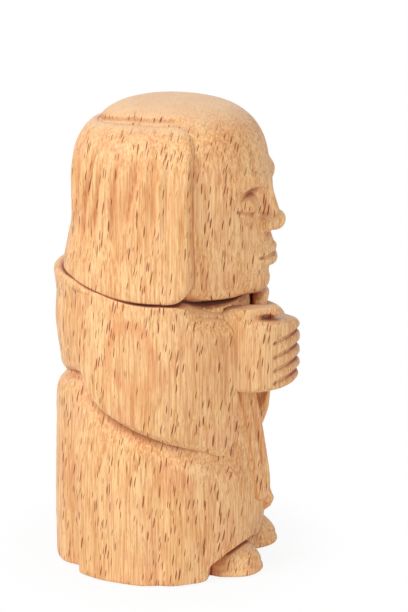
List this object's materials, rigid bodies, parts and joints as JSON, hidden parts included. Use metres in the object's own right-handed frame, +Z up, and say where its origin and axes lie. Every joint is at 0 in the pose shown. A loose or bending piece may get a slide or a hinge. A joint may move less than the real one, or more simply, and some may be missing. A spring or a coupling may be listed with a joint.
{
  "type": "carved monk figurine",
  "caption": "Free-standing wooden figurine of a monk with a bald crown, bobbed hair, bell sleeves and clasped hands.",
  "frame": {"origin": "middle of the flat underside of the robe, on the surface that it stands on", "axes": "+Z up through the crown, -Y the way the figure faces, -X its right side"},
  "size_m": [0.0477, 0.0522, 0.0997],
  "materials": {
    "beech": "satin"
  },
  "bodies": {
    "root": {"robe": "beech", "right_shoe": "beech", "left_shoe": "beech", "cord_end_long": "beech", "cord_end_short": "beech", "right_sleeve": "beech", "left_sleeve": "beech", "right_hand": "beech", "left_hand": "beech", "cowl_hood": "beech", "collar": "beech", "head": "beech", "hair_bob": "beech"}
  },
  "joints": []
}
